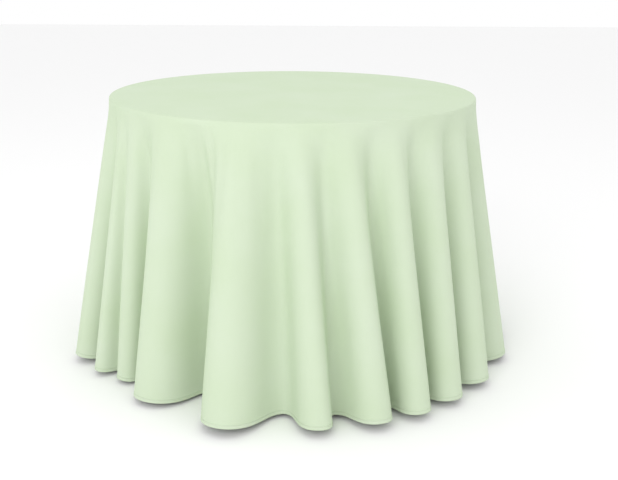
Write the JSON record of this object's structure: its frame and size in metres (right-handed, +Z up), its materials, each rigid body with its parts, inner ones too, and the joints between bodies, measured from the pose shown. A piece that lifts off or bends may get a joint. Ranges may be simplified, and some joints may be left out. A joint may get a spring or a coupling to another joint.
{
  "type": "draped round table",
  "caption": "Round folding table under a full-length round tablecloth that falls in deep fluted folds to just above the floor.",
  "frame": {"origin": "on the floor, under the centre of the table top", "axes": "+Z up; fold axes of the leg frames along Y; the right leg frame at +X"},
  "size_m": [1.312, 1.312, 0.7658],
  "materials": {
    "cloth_fabric": "matt woven polyester with a faint sheen",
    "plywood": "clear lacquered birch plywood",
    "edge_vinyl": "smooth extruded vinyl",
    "hardwood": "planed and sealed hardwood",
    "grey_steel": "powder coat, fine texture",
    "zinc_steel": "bright zinc plate",
    "foot_plastic": "moulded polyethylene"
  },
  "bodies": {
    "table": {"table_top": "plywood", "edge_band": "edge_vinyl", "right_runner": "hardwood", "right_saddle_front": "zinc_steel", "right_saddle_back": "zinc_steel", "right_anchor_bracket": "zinc_steel", "right_anchor_pin": "zinc_steel", "right_saddle_screw_front_inner": "zinc_steel", "right_saddle_screw_front_outer": "zinc_steel", "right_saddle_screw_back_inner": "zinc_steel", "right_saddle_screw_back_outer": "zinc_steel", "right_anchor_screw_inner": "zinc_steel", "right_anchor_screw_outer": "zinc_steel", "left_runner": "hardwood", "left_saddle_front": "zinc_steel", "left_saddle_back": "zinc_steel", "left_anchor_bracket": "zinc_steel", "left_anchor_pin": "zinc_steel", "left_saddle_screw_front_inner": "zinc_steel", "left_saddle_screw_front_outer": "zinc_steel", "left_saddle_screw_back_inner": "zinc_steel", "left_saddle_screw_back_outer": "zinc_steel", "left_anchor_screw_inner": "zinc_steel", "left_anchor_screw_outer": "zinc_steel"},
    "tablecloth": {"tablecloth": "cloth_fabric"},
    "right_leg_frame": {"right_leg_front": "grey_steel", "right_leg_back": "grey_steel", "right_foot_front": "foot_plastic", "right_foot_back": "foot_plastic", "right_pivot_tube": "grey_steel", "right_cross_bar": "grey_steel", "right_collar_front": "zinc_steel", "right_collar_back": "zinc_steel"},
    "right_lower_brace": {"right_lower_link": "grey_steel"},
    "right_upper_brace": {"right_upper_link": "grey_steel", "right_knee_rivet": "zinc_steel"},
    "left_leg_frame": {"left_leg_front": "grey_steel", "left_leg_back": "grey_steel", "left_foot_front": "foot_plastic", "left_foot_back": "foot_plastic", "left_pivot_tube": "grey_steel", "left_cross_bar": "grey_steel", "left_collar_front": "zinc_steel", "left_collar_back": "zinc_steel"},
    "left_lower_brace": {"left_lower_link": "grey_steel"},
    "left_upper_brace": {"left_upper_link": "grey_steel", "left_knee_rivet": "zinc_steel"}
  },
  "joints": [
    {"name": "cloth_lift", "type": "slide", "parent": "table", "child": "tablecloth", "axis": [0, 0, 1], "range_m": [0, 0.8]},
    {"name": "right_fold", "type": "hinge", "parent": "table", "child": "right_leg_frame", "pos_m": [0.34, 0, 0.723], "axis": [0, 1, 0], "range_deg": [0, 93]},
    {"name": "right_lower_turn", "type": "hinge", "parent": "right_leg_frame", "child": "right_lower_brace", "pos_m": [0.35361, 0, 0.46336], "axis": [0, 1, 0], "range_deg": [0, 37.74]},
    {"name": "right_upper_turn", "type": "hinge", "parent": "table", "child": "right_upper_brace", "pos_m": [0.13, 0, 0.723], "axis": [0, -1, 0], "range_deg": [0, 49.27]},
    {"name": "left_fold", "type": "hinge", "parent": "table", "child": "left_leg_frame", "pos_m": [-0.34, 0, 0.689], "axis": [0, -1, 0], "range_deg": [0, 93]},
    {"name": "left_lower_turn", "type": "hinge", "parent": "left_leg_frame", "child": "left_lower_brace", "pos_m": [-0.35361, 0, 0.42936], "axis": [0, -1, 0], "range_deg": [0, 37.74]},
    {"name": "left_upper_turn", "type": "hinge", "parent": "table", "child": "left_upper_brace", "pos_m": [-0.13, 0, 0.689], "axis": [0, 1, 0], "range_deg": [0, 49.27]}
  ],
  "couplings": [
    {"joint": "right_lower_turn", "follows": "right_fold", "ratio": 0.40576},
    {"joint": "right_upper_turn", "follows": "right_fold", "ratio": 0.52973},
    {"joint": "left_lower_turn", "follows": "left_fold", "ratio": 0.40576},
    {"joint": "left_upper_turn", "follows": "left_fold", "ratio": 0.52973}
  ]
}
